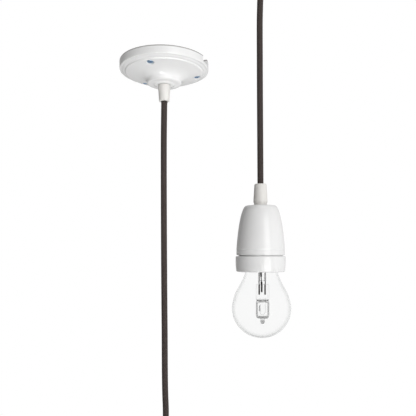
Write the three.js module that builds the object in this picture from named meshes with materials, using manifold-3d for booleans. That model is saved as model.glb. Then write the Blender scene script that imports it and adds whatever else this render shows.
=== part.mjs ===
// Pendant cord set: porcelain ceiling rose, round textile cord, porcelain lamp holder and clear halogen bulb.
// Millimetres, +Z up. The origin is the middle of the rose's back, where it meets the ceiling.

import * as THREE from "three";
import { mergeVertices } from "three/addons/utils/BufferGeometryUtils.js";
import Module from "manifold-3d";

const wasm = await Module();
wasm.setup();

// Clearance between pieces that touch, and half the play of a screw in its hole
const FIT = 0.3;

// Cord
const CORD_R = 2.75;
const CORE_R = 1.1;
const CORE_SPREAD = 1.4;
const CORD_SIDES = 8;
const CORD_STEPS = 78;

// Ceiling rose, depths measured down from its back
const ROSE_R = 40.3;
const ROSE_WALL = 3.5;
const RIM_DEPTH = 7.4;
const LEDGE_INSET = 3;
const LEDGE_DROP = 0.8;
const STEP_INSET = 5.2;
const STEP_DEPTH = 9.7;
const DISC_INNER_R = 26;
const DISC_INNER_DEPTH = 11.4;
const BOSS_R = 15.6;
const BOSS_FOOT = 16.6;
const BOSS_DEPTH = 19.3;
const BOSS_ROUND = 2.4;
const BOSS_COLLAR_R = 8.2;
const BOSS_COLLAR = 0.8;
const BOSS_FLOOR = 4;
const PORCELAIN = 3.2;
const NOTCH_WIDTH = 10.4;
const NOTCH_DEPTH = 5.4;
const NOTCH_ANGLE = -20;

// Screws that hold the rose
const SCREW_INSET = 10.1;
const SCREW_ANGLES = [12, 132, 252];
const SCREW_HEAD_R = 2.7;
const SCREW_HEAD_H = 1.9;
const SCREW_SHANK_R = 1.5;
const CROSS_REACH = 3.4;
const CROSS_WIDTH = 0.8;
const CROSS_DEPTH = 0.9;
const PAD_R = 4.6;
const PAD_DEPTH = 5;

// Steel bracket behind the rose
const BRACKET_T = 1.5;
const BRACKET_HUB_R = 13;
const ARM_WIDTH = 10;
const ARM_CLEARANCE = 2.1;
const SLOT_WIDTH = 4.4;
const SLOT_LENGTH = 9;
const SLOT_PITCH_R = 19.5;
const BUSH_R = 3.1;

// Terminal block on the bracket, along one arm
const BLOCK_ANGLE = 132;
const BLOCK_WIDTH = 15;
const BLOCK_LENGTH = 9;
const BLOCK_HEIGHT = 5.4;
const BLOCK_START = 10.5;
const POLE_SPREAD = 3.6;
const TUBE_R = 1.9;
const TUBE_BORE_R = 1.45;
const CLAMP_SCREW_R = 1;

// Cord grips
const STEM_R = 4.9;
const NUT_FLATS = 14;
const NUT_H = 3;
const ROSE_GRIP_LENGTH = 14.5;
const ROSE_GRIP_R = 5.5;
const ROSE_GRIP_MOUTH_R = 4.7;
const HOLDER_GRIP_LENGTH = 19.8;
const HOLDER_GRIP_R = 6.4;
const HOLDER_GRIP_MOUTH_R = 5.5;
const GRIP_NECK_R = 5.9;
const GRIP_NECK_H = 2.7;

// Lamp holder, heights measured down from the top of its body
const HOLDER_X = 88;
const HOLDER_TOP = -130.4;
const BODY_H = 45;
const BODY_R = 22;
const BODY_TOP_R = 13.2;
const FLANK_BEND = 1.35;
const FLANK_STEPS = 10;
const CAVITY_INSET = 9.4;
const BODY_ROOF = 4.5;
const BEAD_H = 4.6;
const BEAD_GROOVE = 0.3;
const COLLAR_H = 7;
const COLLAR_INSET = 2;
const COLLAR_WALL = 2.4;
const RING_GAP = 0.8;
const RING_OVERHANG = 0.7;
const RING_H = 14.3;
const RING_LIP = 4.3;
const RING_LIP_WIDTH = 2.9;

// Ceramic insert and its metal pieces
const INSERT_PLAY = 1;
const INSERT_WALL = 1.7;
const INSERT_FLANGE_H = 2.4;
const INSERT_ROOF = 5;
const SHELL_PLAY = 0.7;
const SHELL_T = 0.5;
const CONTACT_ROOM = 2;
const STRIP_WIDTH = 4.4;
const STRIP_T = 0.6;
const STRIP_END = 3.5;
const RIVET_R = 1.1;
const HOLDER_POLE_X = 8.5;
const POST_SIZE = 5;
const POST_H = 4.5;

// Bulb
const BULB_R = 26.8;
const BULB_DROP = 60.2;
const GLASS_T = 0.8;
const GLASS_OFFSET = 0.8;
const NECK_FLARE = 1.45;
const CAP_GRIP = 5;
const CAP_PLAY = 0.65;
const CAP_T = 0.4;
const CAP_LENGTH = 22;
const INSULATOR_H = 3;
const INSULATOR_INSET = 4.05;
const CONTACT_R = 4.6;
const CONTACT_H = 1.6;
const STEM_X = 0.7;
const STEM_TUBE_R = 3.9;
const STEM_BORE_R = 3.4;
const STEM_PRESS_H = 3;
const FLARE_H = 5;

// Halogen capsule inside the bulb, heights measured down from the holder's mouth
const CAPSULE_X = 1.1;
const CAPSULE_R = 6;
const CAPSULE_TOP = 26.1;
const CAPSULE_LENGTH = 16.2;
const CAPSULE_GLASS = 0.9;
const CAPSULE_TIP = 5.3;
const CAPSULE_TIP_R = 2.1;
const PINCH_TOP = 11.5;
const PINCH_WIDTH = 12;
const PINCH_T = 3;
const LEAD_R = 0.45;
const LEAD_END_R = 0.75;
const LEAD_DEPTH = 9.6;
const LEAD_SPREAD = 2.7;
const SUPPORT_X = 0.3;
const SUPPORT_R = 0.7;
const SUPPORT_DEPTH = 7.4;
const FILAMENT_R = 0.8;

// Cord hooks above the holder and the riser
const HOOK_WIRE_R = 2;
const HOOK_SHANK = 24;
const HOOK_PLAY = 1.2;
const HOOK_LIP = 5;
const HOOK_INSET = 9.6;
const HOOK_Z = 80.4;
const RISER_X = 236;

// Places that follow from the sizes above
const ledgeR = ROSE_R - LEDGE_INSET;
const stepR = ROSE_R - STEP_INSET;
const screwPitchR = ROSE_R - SCREW_INSET;
const armReach = ROSE_R - ROSE_WALL - ARM_CLEARANCE;
const boreR = STEM_R + FIT;
const cordBoreR = CORD_R + FIT;
const roseSeat = -(BOSS_DEPTH + BOSS_COLLAR);
const roseGripMouth = roseSeat - ROSE_GRIP_LENGTH - FIT;
const holderGripMouth = HOLDER_TOP + FIT + HOLDER_GRIP_LENGTH;
const collarTop = HOLDER_TOP - BODY_H;
const ringTop = collarTop - RING_GAP;
const ringBottom = ringTop - RING_H;
const insertBottom = ringBottom + RING_LIP + FIT;
const collarBottom = collarTop - COLLAR_H;
const cavityTopR = BODY_R - CAVITY_INSET;
const collarR = BODY_R - COLLAR_INSET;
const collarInner = collarR - COLLAR_WALL;
const ringR = BODY_R + RING_OVERHANG;
const ringThreadR = collarR + FIT;
const ringMouthR = ringThreadR - RING_LIP_WIDTH;
const insertR = collarInner - INSERT_PLAY;
const insertBoreR = insertR - INSERT_WALL;
const shellR = insertBoreR - SHELL_PLAY;
const capR = shellR - SHELL_T - CAP_PLAY;
const capInner = capR - CAP_T;
const insulatorR = capR - INSULATOR_INSET;
const neckR = capR + NECK_FLARE;
const neckTopR = capInner - GLASS_OFFSET - FIT;
const capBottom = insertBottom - 1;
const capTop = capBottom + CAP_LENGTH;
const flangeTop = insertBottom + INSERT_FLANGE_H;
const contactTop = capTop + INSULATOR_H + CONTACT_H;
const insertRoof = contactTop + CONTACT_ROOM;
const insertTop = insertRoof + INSERT_ROOF;

// Turns a closed geometry into a solid that can be joined and cut
function solid(geometry) {
  const bare = new THREE.BufferGeometry();
  bare.setAttribute("position", geometry.getAttribute("position"));
  if (geometry.index) bare.setIndex(geometry.index);
  const merged = mergeVertices(bare, 1e-4);
  const index = merged.index.array;
  const kept = [];
  for (let i = 0; i < index.length; i += 3) {
    const [a, b, c] = index.slice(i, i + 3);
    if (a !== b && b !== c && c !== a) kept.push(a, b, c);
  }
  const vertProperties = Float32Array.from(merged.attributes.position.array);
  return new wasm.Manifold(new wasm.Mesh({ numProp: 3, vertProperties, triVerts: Uint32Array.from(kept) }));
}

// Turns a solid back into a geometry
function geometryOf(body) {
  const mesh = body.getMesh();
  const geometry = new THREE.BufferGeometry();
  geometry.setAttribute("position", new THREE.BufferAttribute(Float32Array.from(mesh.vertProperties), 3));
  geometry.setIndex([...mesh.triVerts]);
  geometry.computeVertexNormals();
  return geometry;
}

function join(...bodies) {
  return bodies.reduce((whole, body) => whole.add(body));
}

function cut(body, ...tools) {
  return tools.reduce((left, tool) => left.subtract(tool), body);
}

// A solid of revolution about Z from a profile of [radius, height] points
function turned(profile, segments) {
  let area = 0;
  profile.forEach(([r, z], i) => {
    const [nextR, nextZ] = profile[(i + 1) % profile.length];
    area += r * nextZ - nextR * z;
  });
  const ordered = area > 0 ? profile : [...profile].reverse();
  const points = ordered.map(([r, z]) => new THREE.Vector2(Math.max(r, 0), z));
  if (ordered[0][0] > 0 || ordered.at(-1)[0] > 0) points.push(points[0].clone());
  return solid(new THREE.LatheGeometry(points, segments).rotateX(Math.PI / 2));
}

// A straight round bar between two heights
function bar(radius, low, high, x = 0, y = 0, segments = 16) {
  const geometry = new THREE.CylinderGeometry(radius, radius, high - low, segments);
  return solid(geometry.rotateX(Math.PI / 2).translate(x, y, (low + high) / 2));
}

function block(width, depth, low, high, x = 0, y = 0) {
  return solid(new THREE.BoxGeometry(width, depth, high - low).translate(x, y, (low + high) / 2));
}

function turnedTo(body, degrees) {
  return body.rotate([0, 0, degrees]);
}

// A round wire or cord along a smooth curve through points
function swept(points, radius, sides, steps) {
  const curve = new THREE.CatmullRomCurve3(points.map((p) => new THREE.Vector3(...p)), false, "centripetal");
  const section = new THREE.Shape();
  const reach = radius / Math.cos(Math.PI / sides);
  for (let i = 0; i < sides; i += 1) {
    const angle = (2 * Math.PI * (i + 0.5)) / sides;
    const [x, y] = [reach * Math.cos(angle), reach * Math.sin(angle)];
    if (i) section.lineTo(x, y);
    else section.moveTo(x, y);
  }
  return solid(new THREE.ExtrudeGeometry(section, { extrudePath: curve, steps, curveSegments: 1 }));
}

// Points on a quarter bend from one corner leg to the other, ends included
function rounded([r0, z0], [cornerR, cornerZ], [r1, z1], count = 3) {
  return Array.from({ length: count + 1 }, (_, i) => {
    const t = i / count;
    const [a, b, c] = [(1 - t) ** 2, 2 * t * (1 - t), t ** 2];
    return [a * r0 + b * cornerR + c * r1, a * z0 + b * cornerZ + c * z1];
  });
}

function polar(radius, degrees) {
  const angle = THREE.MathUtils.degToRad(degrees);
  return [radius * Math.cos(angle), radius * Math.sin(angle)];
}

// Depth of the rose's outer disc at a radius
function discDepth(radius) {
  const share = (stepR - radius) / (stepR - DISC_INNER_R);
  return STEP_DEPTH + share * (DISC_INNER_DEPTH - STEP_DEPTH);
}

// Height of the seat under a screw's head, which lies flush with the disc
const screwSeat = SCREW_HEAD_H - discDepth(screwPitchR);

const paints = {
  porcelain: [0xf3f3f1, 0.12, 0],
  ivory: [0xefebe4, 0.55, 0],
  blueZinc: [0x8fb2d4, 0.3, 0.9],
  steel: [0xb9bcc0, 0.35, 0.9],
  brass: [0xc8a655, 0.3, 0.95],
  ceramic: [0xe9e6de, 0.7, 0],
  aluminium: [0xc9cacc, 0.35, 0.9],
  blackGlass: [0x17171a, 0.15, 0],
  solder: [0xa9abad, 0.45, 0.8],
  clearGlass: [0xeef2f2, 0.03, 0],
  quartz: [0xe6eaea, 0.03, 0],
  wire: [0x4a4744, 0.4, 0.85],
  textile: [0x4a403e, 0.95, 0],
  brownCore: [0x6b4226, 0.5, 0],
  blueCore: [0x2f5f9e, 0.5, 0],
  whitePaint: [0xf2f2f0, 0.35, 0],
};

const pendant = new THREE.Group();

function place(group, name, body, paint) {
  const [color, roughness, metalness] = paints[paint];
  const material = new THREE.MeshStandardMaterial({ color, roughness, metalness });
  if (paint === "clearGlass" || paint === "quartz") {
    material.transparent = true;
    material.opacity = 0.3;
  }
  const mesh = new THREE.Mesh(geometryOf(body), material);
  mesh.name = name;
  group.add(mesh);
}

// Porcelain dish of the rose
function roseBody() {
  const inner = ROSE_R - ROSE_WALL;
  const cavityR = BOSS_R - ROSE_WALL;
  const cavityFloor = -(BOSS_DEPTH - BOSS_FLOOR);
  const discUnder = -(STEP_DEPTH - PORCELAIN);
  const profile = [
    [boreR, roseSeat],
    [BOSS_COLLAR_R, roseSeat],
    [BOSS_COLLAR_R + 2 * BOSS_COLLAR, -BOSS_DEPTH],
    ...rounded([BOSS_R - BOSS_ROUND, -BOSS_DEPTH], [BOSS_R, -BOSS_DEPTH], [BOSS_R, -BOSS_DEPTH + BOSS_ROUND]),
    ...rounded(
      [BOSS_R + 0.2, -BOSS_FOOT],
      [BOSS_R + 1.4, -discDepth(BOSS_R + 1.4)],
      [DISC_INNER_R, -DISC_INNER_DEPTH],
      6,
    ),
    ...rounded([stepR - 1, -STEP_DEPTH], [stepR, -STEP_DEPTH], [stepR + 0.3, -STEP_DEPTH + 1], 2),
    [ledgeR, -RIM_DEPTH - LEDGE_DROP],
    ...rounded([ROSE_R - 1.6, -RIM_DEPTH], [ROSE_R, -RIM_DEPTH], [ROSE_R, -RIM_DEPTH + 1.6], 3),
    [ROSE_R, -0.6],
    [ROSE_R - 0.6, 0],
    [inner, 0],
    [inner, -(RIM_DEPTH - PORCELAIN)],
    [stepR - 2, discUnder],
    [DISC_INNER_R - 2, -(DISC_INNER_DEPTH - PORCELAIN)],
    [cavityR, -(BOSS_FOOT - PORCELAIN)],
    [cavityR, cavityFloor],
    [boreR, cavityFloor],
  ];
  let dish = turned(profile, 44);
  for (const angle of SCREW_ANGLES) {
    const [x, y] = polar(screwPitchR, angle);
    const pad = bar(PAD_R, screwSeat - 0.5, -PAD_DEPTH, x, y);
    const hole = bar(SCREW_SHANK_R + FIT, -BOSS_DEPTH, 0.5, x, y, 16);
    const sink = bar(SCREW_HEAD_R + FIT, -BOSS_DEPTH, screwSeat + FIT, x, y, 24);
    dish = cut(join(dish, pad), hole, sink);
  }
  const notch = turnedTo(block(ROSE_WALL * 3, NOTCH_WIDTH, -NOTCH_DEPTH, 1, ROSE_R), NOTCH_ANGLE);
  return cut(dish, notch);
}

// One screw of the rose: a low domed head with a cross recess, and its shank
function roseScrew(angle) {
  const [x, y] = polar(screwPitchR, angle);
  const headLow = screwSeat - SCREW_HEAD_H;
  const tip = -BRACKET_T / 2;
  const dome = 0.5;
  const profile = [
    [0, headLow],
    [SCREW_HEAD_R * 0.55, headLow + 0.1],
    [SCREW_HEAD_R, headLow + dome],
    [SCREW_HEAD_R, screwSeat],
    [SCREW_SHANK_R, screwSeat],
    [SCREW_SHANK_R, tip - 0.8],
    [SCREW_SHANK_R * 0.6, tip],
    [0, tip],
  ];
  const [low, high] = [headLow - 1, headLow + CROSS_DEPTH];
  const cross = join(block(CROSS_REACH, CROSS_WIDTH, low, high), block(CROSS_WIDTH, CROSS_REACH, low, high));
  return cut(turned(profile, 16), cross).translate([x, y, 0]);
}

// Three-armed steel bracket with a threaded bush for each screw
function roseBracket() {
  const hub = bar(BRACKET_HUB_R, -BRACKET_T, 0, 0, 0, 32);
  const arm = join(
    block(armReach, ARM_WIDTH, -BRACKET_T, 0, armReach / 2),
    bar(BUSH_R, -PAD_DEPTH + FIT, -BRACKET_T / 2, screwPitchR, 0, 20),
  );
  const holes = join(
    block(SLOT_LENGTH, SLOT_WIDTH, -BRACKET_T - 1, 1, SLOT_PITCH_R),
    bar(SCREW_SHANK_R + FIT, -PAD_DEPTH - 1, 1, screwPitchR, 0, 16),
  );
  const arms = SCREW_ANGLES.map((angle) => turnedTo(arm, angle));
  return cut(join(hub, ...arms), ...SCREW_ANGLES.map((angle) => turnedTo(holes, angle)));
}

// Tapered cord grip with a threaded stem, made with its mouth pointing up and its seat at height 0
function gripSolid(length, baseR, mouthR, neckH, stemLength) {
  const profile = [
    [cordBoreR, -stemLength],
    [STEM_R - 0.4, -stemLength],
    [STEM_R, -stemLength + 0.4],
    [STEM_R, 0],
    ...(neckH ? [[GRIP_NECK_R, 0], [GRIP_NECK_R, neckH], [baseR, neckH]] : [[baseR, 0]]),
    [baseR, neckH + 3],
    ...rounded([mouthR + 0.1, length - 1], [mouthR, length], [mouthR - 0.8, length], 2),
    [cordBoreR, length],
  ];
  return turned(profile, 24);
}

function nutSolid(low) {
  const nut = bar(NUT_FLATS / Math.sqrt(3), low, low + NUT_H, 0, 0, 6);
  return cut(nut, bar(STEM_R + FIT, low - 1, low + NUT_H + 1));
}

// Stretch of one core from the cord's end to a terminal
function core(points) {
  return swept(points, CORE_R, 6, 9);
}

const rose = new THREE.Group();
pendant.add(rose);

const roseCavityFloor = -(BOSS_DEPTH - BOSS_FLOOR);
const roseStem = BOSS_FLOOR + BOSS_COLLAR + FIT + NUT_H + 1;
const roseCordTop = roseSeat + roseStem - FIT;
const blockTop = -BRACKET_T - FIT;
const blockBottom = blockTop - BLOCK_HEIGHT;
const poleZ = (blockTop + blockBottom) / 2;

place(rose, "rose_body", roseBody(), "porcelain");
SCREW_ANGLES.forEach((angle, i) => place(rose, `rose_screw_${i + 1}`, roseScrew(angle), "blueZinc"));
place(rose, "rose_bracket", roseBracket(), "steel");
const roseGrip = gripSolid(ROSE_GRIP_LENGTH, ROSE_GRIP_R, ROSE_GRIP_MOUTH_R, 0, roseStem);
place(
  rose,
  "rose_cord_grip",
  roseGrip.rotate([180, 0, 0]).translate([0, 0, roseSeat - FIT]),
  "ivory",
);
place(rose, "rose_grip_nut", nutSolid(roseCavityFloor + FIT), "ivory");
place(rose, "rose_cord_end", bar(CORD_R, roseGripMouth + FIT, roseCordTop, 0, 0, CORD_SIDES), "textile");

// Terminal block along one arm of the bracket, with a brass tube and a clamp screw for each pole
function onBlockArm(body) {
  return turnedTo(body, BLOCK_ANGLE);
}

const blockMiddle = BLOCK_START + BLOCK_LENGTH / 2;
const radialBar = (radius, from, to, y, z, segments = 16) => {
  const geometry = new THREE.CylinderGeometry(radius, radius, to - from, segments);
  return solid(geometry.rotateZ(Math.PI / 2).translate((from + to) / 2, y, z));
};
let blockBody = block(BLOCK_LENGTH, BLOCK_WIDTH, blockBottom, blockTop, blockMiddle);
["live", "neutral"].forEach((pole, i) => {
  const y = (i ? -1 : 1) * POLE_SPREAD;
  const tubeStart = BLOCK_START + 1.5;
  const tubeEnd = BLOCK_START + BLOCK_LENGTH - 1;
  const screwHole = bar(CLAMP_SCREW_R + FIT, blockBottom - 1, poleZ, blockMiddle, y, 12);
  const poleHole = radialBar(TUBE_R + FIT, BLOCK_START - 1, BLOCK_START + BLOCK_LENGTH + 1, y, poleZ);
  blockBody = cut(blockBody, poleHole, screwHole);
  const sleeve = cut(
    radialBar(TUBE_R, tubeStart, tubeEnd, y, poleZ),
    radialBar(TUBE_BORE_R, tubeStart - 1, tubeEnd + 1, y, poleZ),
    screwHole,
  );
  const clampScrew = bar(CLAMP_SCREW_R, blockBottom + FIT, poleZ - TUBE_BORE_R * 0.4, blockMiddle, y, 12);
  place(rose, `rose_terminal_${pole}`, onBlockArm(sleeve), "brass");
  place(rose, `rose_clamp_screw_${pole}`, onBlockArm(clampScrew), "steel");
  const start = roseCordTop + FIT;
  const route = [
    [0, (i ? -1 : 1) * CORE_SPREAD, start],
    [0.3, (i ? -1 : 1) * (CORE_SPREAD + 0.3), start + 1.5],
    [3.5, y * 0.9, poleZ - 0.6],
    [7.5, y, poleZ],
    [BLOCK_START + 1.2, y, poleZ],
  ];
  place(rose, `rose_core_${pole}`, onBlockArm(core(route)), i ? "blueCore" : "brownCore");
});
place(rose, "rose_terminal_block", onBlockArm(blockBody), "ceramic");

// Lamp holder
const holder = new THREE.Group();
holder.position.x = HOLDER_X;
pendant.add(holder);

// Porcelain bell of the holder, with the collar that the ring screws on
function holderBody() {
  const flankH = BODY_H - BEAD_H;
  const flank = Array.from({ length: FLANK_STEPS + 1 }, (_, i) => {
    const down = (i / FLANK_STEPS) ** 2;
    const across = Math.sqrt(1 - (1 - down) ** FLANK_BEND);
    return [BODY_TOP_R + (BODY_R - BODY_TOP_R) * across, HOLDER_TOP - flankH * down];
  });
  const profile = [
    [boreR, HOLDER_TOP],
    ...flank,
    [BODY_R - BEAD_GROOVE, collarTop + BEAD_H - BEAD_GROOVE],
    [BODY_R - BEAD_GROOVE, collarTop + BEAD_H - 2 * BEAD_GROOVE],
    [BODY_R, collarTop + BEAD_H - 3 * BEAD_GROOVE],
    ...rounded([BODY_R, collarTop + 1], [BODY_R, collarTop], [BODY_R - 1, collarTop], 2),
    [collarR, collarTop],
    [collarR, collarBottom],
    [collarInner, collarBottom],
    [collarInner, HOLDER_TOP - BODY_H * 0.4],
    [cavityTopR, HOLDER_TOP - BODY_ROOF],
    [boreR, HOLDER_TOP - BODY_ROOF],
  ];
  return turned(profile, 36);
}

function holderRing() {
  const profile = [
    [ringThreadR, ringTop],
    ...rounded([ringR - 1, ringTop], [ringR, ringTop], [ringR, ringTop - 1], 2),
    [ringR, ringTop - RING_H * 0.55],
    [ringR - 0.5, ringBottom + 2.2],
    ...rounded([ringR - 0.55, ringBottom + 1.6], [ringR - 0.6, ringBottom], [ringR - 2.2, ringBottom], 3),
    [ringMouthR + 0.6, ringBottom],
    [ringMouthR, ringBottom + 0.6],
    [ringMouthR, ringBottom + RING_LIP],
    [ringThreadR, ringBottom + RING_LIP],
  ];
  return turned(profile, 36);
}

// Ceramic insert: a cup with a flange that the ring clamps against the collar
function holderInsert() {
  const profile = [
    [0, insertRoof],
    [insertBoreR, insertRoof],
    [insertBoreR, insertBottom],
    [collarR - FIT, insertBottom],
    [collarR - FIT, flangeTop],
    [insertR, flangeTop],
    [insertR, insertTop],
    [0, insertTop],
  ];
  const poleHole = bar(RIVET_R + FIT, insertRoof - 1, insertTop + 1, HOLDER_POLE_X);
  return cut(turned(profile, 28), poleHole, turnedTo(poleHole, 180));
}

// Brass screw shell with an inward rim at its top
function screwShell() {
  const top = insertRoof - 2.4;
  const inner = shellR - SHELL_T;
  const profile = [
    [inner, insertBottom + 1],
    [shellR, insertBottom + 1],
    [shellR, top],
    [shellR - 3, top],
    [shellR - 3, top - SHELL_T],
    [inner, top - SHELL_T],
  ];
  return turned(profile, 28);
}

const holderStem = BODY_ROOF + 2 * FIT + NUT_H + 1;
const holderCordLow = HOLDER_TOP + FIT - holderStem + FIT;
const holderGrip = gripSolid(HOLDER_GRIP_LENGTH, HOLDER_GRIP_R, HOLDER_GRIP_MOUTH_R, GRIP_NECK_H, holderStem);
place(holder, "holder_cord_grip", holderGrip.translate([0, 0, HOLDER_TOP + FIT]), "ivory");
place(holder, "holder_grip_nut", nutSolid(HOLDER_TOP - BODY_ROOF - FIT - NUT_H), "ivory");
const holderCordEnd = bar(CORD_R, holderCordLow, holderGripMouth - FIT, 0, 0, CORD_SIDES);
place(holder, "holder_cord_end", holderCordEnd, "textile");
place(holder, "holder_body", holderBody(), "porcelain");
place(holder, "holder_ring", holderRing(), "porcelain");
place(holder, "holder_insert", holderInsert(), "ceramic");
place(holder, "holder_screw_shell", screwShell(), "brass");

// Centre contact: a brass strip under the insert's roof with a tongue that meets the bulb
const stripTop = insertRoof - FIT;
const stripReach = HOLDER_POLE_X - RIVET_R - 3 * FIT;
const stripMiddle = (STRIP_END - stripReach) / 2;
const contactStrip = join(
  block(stripReach + STRIP_END, STRIP_WIDTH, stripTop - STRIP_T, stripTop, stripMiddle),
  bar(STRIP_WIDTH * 0.45, contactTop + FIT, stripTop - STRIP_T / 2),
);
place(holder, "holder_centre_contact", contactStrip, "brass");

["live", "neutral"].forEach((pole, i) => {
  const side = i ? 1 : -1;
  const x = side * HOLDER_POLE_X;
  const postLow = insertTop + FIT;
  const postHigh = postLow + POST_H;
  const wireZ = postLow + POST_H / 2;
  const wireHole = solid(new THREE.CylinderGeometry(CORE_R + FIT, CORE_R + FIT, POST_SIZE + 2, 16)
    .rotateZ(Math.PI / 2)
    .translate(x, 0, wireZ));
  const screwBore = bar(CLAMP_SCREW_R + FIT, postLow - 1, postHigh + 1, x, 0, 12);
  const post = cut(block(POST_SIZE, POST_SIZE, postLow, postHigh, x), wireHole, screwBore);
  const rivet = bar(RIVET_R, insertRoof + 0.4, postLow - FIT, x, 0, 12);
  place(holder, `holder_terminal_${pole}`, post, "brass");
  place(holder, `holder_rivet_${pole}`, rivet, "brass");
  const head = bar(CLAMP_SCREW_R * 2, postHigh + FIT, postHigh + FIT + 1.2, x, 0, 16);
  const shank = bar(CLAMP_SCREW_R, wireZ + CORE_R + FIT, postHigh + FIT + 0.5, x, 0, 12);
  const slot = block(CLAMP_SCREW_R * 5, 0.6, postHigh + FIT + 0.6, postHigh + 3, x);
  place(holder, `holder_clamp_screw_${pole}`, cut(join(head, shank), slot), "steel");
  const start = holderCordLow - FIT;
  const route = [
    [side * CORE_SPREAD, 0, start],
    [side * (CORE_SPREAD + 0.1), 0, start - 2],
    [side * (CORE_SPREAD + 0.6), 0, wireZ + 3.4],
    [side * (CORE_SPREAD + 2), 0, wireZ + 0.5],
    [x - side * (POST_SIZE / 2 + 0.6), 0, wireZ],
    [x - side * CLAMP_SCREW_R, 0, wireZ],
  ];
  place(holder, `holder_core_${pole}`, core(route), i ? "blueCore" : "brownCore");
});

// Bulb
const bulb = new THREE.Group();
holder.add(bulb);

const bulbCentre = ringBottom - BULB_DROP + BULB_R;

// Outline of the clear glass from its tip to its neck, moved in by a wall thickness
function glassOutline(inset) {
  const radius = BULB_R - inset;
  const points = [];
  const rows = 9;
  const lift = 20;
  for (let i = 0; i <= rows; i += 1) {
    const [r, z] = polar(radius, -90 + ((90 + lift) * i) / rows);
    points.push([i ? r : 0, bulbCentre + z]);
  }
  const [endR, endZ] = points.at(-1);
  const narrowing = endR - (neckR - inset);
  points.push(
    [endR - narrowing * 0.13, endZ + (ringBottom - endZ) * 0.18],
    [endR - narrowing * 0.34, endZ + (ringBottom - endZ) * 0.36],
    [endR - narrowing * 0.57, endZ + (ringBottom - endZ) * 0.54],
    [endR - narrowing * 0.79, endZ + (ringBottom - endZ) * 0.74],
    [endR - narrowing * 0.93, endZ + (ringBottom - endZ) * 0.9],
    [neckR - inset, ringBottom],
    [neckTopR - inset, capBottom - 0.6],
    [neckTopR - inset, capBottom + CAP_GRIP],
  );
  return points;
}

// What the glass carries sits with it, a little off the cap's axis
const glasswork = new THREE.Group();
glasswork.position.x = GLASS_OFFSET;
bulb.add(glasswork);
const glassWall = [...glassOutline(0), ...glassOutline(GLASS_T).reverse()];
place(glasswork, "bulb_glass", turned(glassWall, 32), "clearGlass");

const capProfile = [
  [capInner, capBottom],
  [capR, capBottom],
  [capR, capTop - 1.6],
  [capR - 2.4, capTop],
  [insulatorR + FIT, capTop],
  [insulatorR + FIT, capTop - CAP_T],
  [capInner - 2.2, capTop - CAP_T],
  [capInner, capTop - 1.9],
];
place(bulb, "bulb_cap", turned(capProfile, 28), "aluminium");
const insulator = turned([
  [CONTACT_R * 0.5, capTop - 1.4],
  [insulatorR - 1.5, capTop - 1.4],
  [insulatorR, capTop - 0.6],
  [insulatorR, capTop + 0.4],
  [CONTACT_R + 0.6, capTop + INSULATOR_H],
  [CONTACT_R * 0.5, capTop + INSULATOR_H],
], 20);
place(bulb, "bulb_insulator", insulator, "blackGlass");
const contact = turned([
  [0, capTop + INSULATOR_H + FIT],
  [CONTACT_R, capTop + INSULATOR_H + FIT],
  [CONTACT_R, capTop + INSULATOR_H + FIT + 0.5],
  [CONTACT_R * 0.6, contactTop - FIT],
  [0, contactTop],
], 16);
place(bulb, "bulb_contact", contact, "solder");

// Glass stem: a flare at the neck's top and a tube whose pressed end holds the wires
const pinchTop = ringBottom - PINCH_TOP;
const stemBottom = pinchTop + FIT;
const flareTop = insertBottom + 3;
const flareLow = flareTop - FLARE_H;
const flareR = neckTopR - GLASS_T - FIT - STEM_X;
const wireTop = flareTop + 2;
const stemBody = turned([
  [0, stemBottom],
  [STEM_TUBE_R - 0.8, stemBottom],
  [STEM_TUBE_R, stemBottom + 0.8],
  [STEM_TUBE_R, flareLow],
  [STEM_TUBE_R + 1.6, flareLow + FLARE_H * 0.55],
  [flareR, flareTop - 0.8],
  [flareR, flareTop],
  [flareR - 1, flareTop],
  [STEM_BORE_R + 1.4, flareLow + FLARE_H * 0.65],
  [STEM_BORE_R, flareLow + 0.4],
  [STEM_BORE_R, stemBottom + STEM_PRESS_H],
  [0, stemBottom + STEM_PRESS_H],
], 20).translate([STEM_X, 0, 0]);
const leadPlaces = [-1, 1].map((side) => STEM_X + side * LEAD_SPREAD);
const pressTop = stemBottom + STEM_PRESS_H + 1;
const pressBores = leadPlaces.map((x) => bar(LEAD_R + FIT, stemBottom - 1, pressTop, x, 0, 12));
const supportBore = bar(SUPPORT_R + FIT, stemBottom - 1, pressTop, SUPPORT_X, 0, 12);
place(glasswork, "bulb_stem", cut(stemBody, ...pressBores, supportBore), "clearGlass");

// Quartz capsule: flat pinch, round tube and a drawn-off tip that keeps its exhaust bore
const shoulder = ringBottom - CAPSULE_TOP;
const tubeEnd = shoulder - CAPSULE_LENGTH;
const leadEnd = pinchTop - LEAD_DEPTH;
const supportEnd = pinchTop - SUPPORT_DEPTH;
const hollowR = CAPSULE_R - CAPSULE_GLASS;
const exhaustR = 0.3;
const capsuleShape = turned([
  [0, shoulder],
  [CAPSULE_R - 1.2, shoulder],
  [CAPSULE_R, shoulder - 1.2],
  ...rounded([CAPSULE_R, tubeEnd + 3.6], [CAPSULE_R, tubeEnd], [CAPSULE_TIP_R + 0.6, tubeEnd - 0.2], 4),
  [CAPSULE_TIP_R - 0.3, tubeEnd - 1.2],
  [CAPSULE_TIP_R, tubeEnd - CAPSULE_TIP * 0.6],
  [CAPSULE_TIP_R - 0.5, tubeEnd - CAPSULE_TIP + 0.3],
  [CAPSULE_TIP_R * 0.5, tubeEnd - CAPSULE_TIP],
  [0, tubeEnd - CAPSULE_TIP],
], 20);
const capsuleHollow = turned([
  [0, shoulder - 1],
  [hollowR - 1, shoulder - 1],
  [hollowR, shoulder - 2],
  ...rounded([hollowR, tubeEnd + 3.6], [hollowR, tubeEnd + 1], [exhaustR, tubeEnd + 0.7], 3),
  [exhaustR, tubeEnd - CAPSULE_TIP - 1],
  [0, tubeEnd - CAPSULE_TIP - 1],
], 16);
const pinch = block(PINCH_WIDTH, PINCH_T, shoulder - 0.6, pinchTop, CAPSULE_X);
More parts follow.
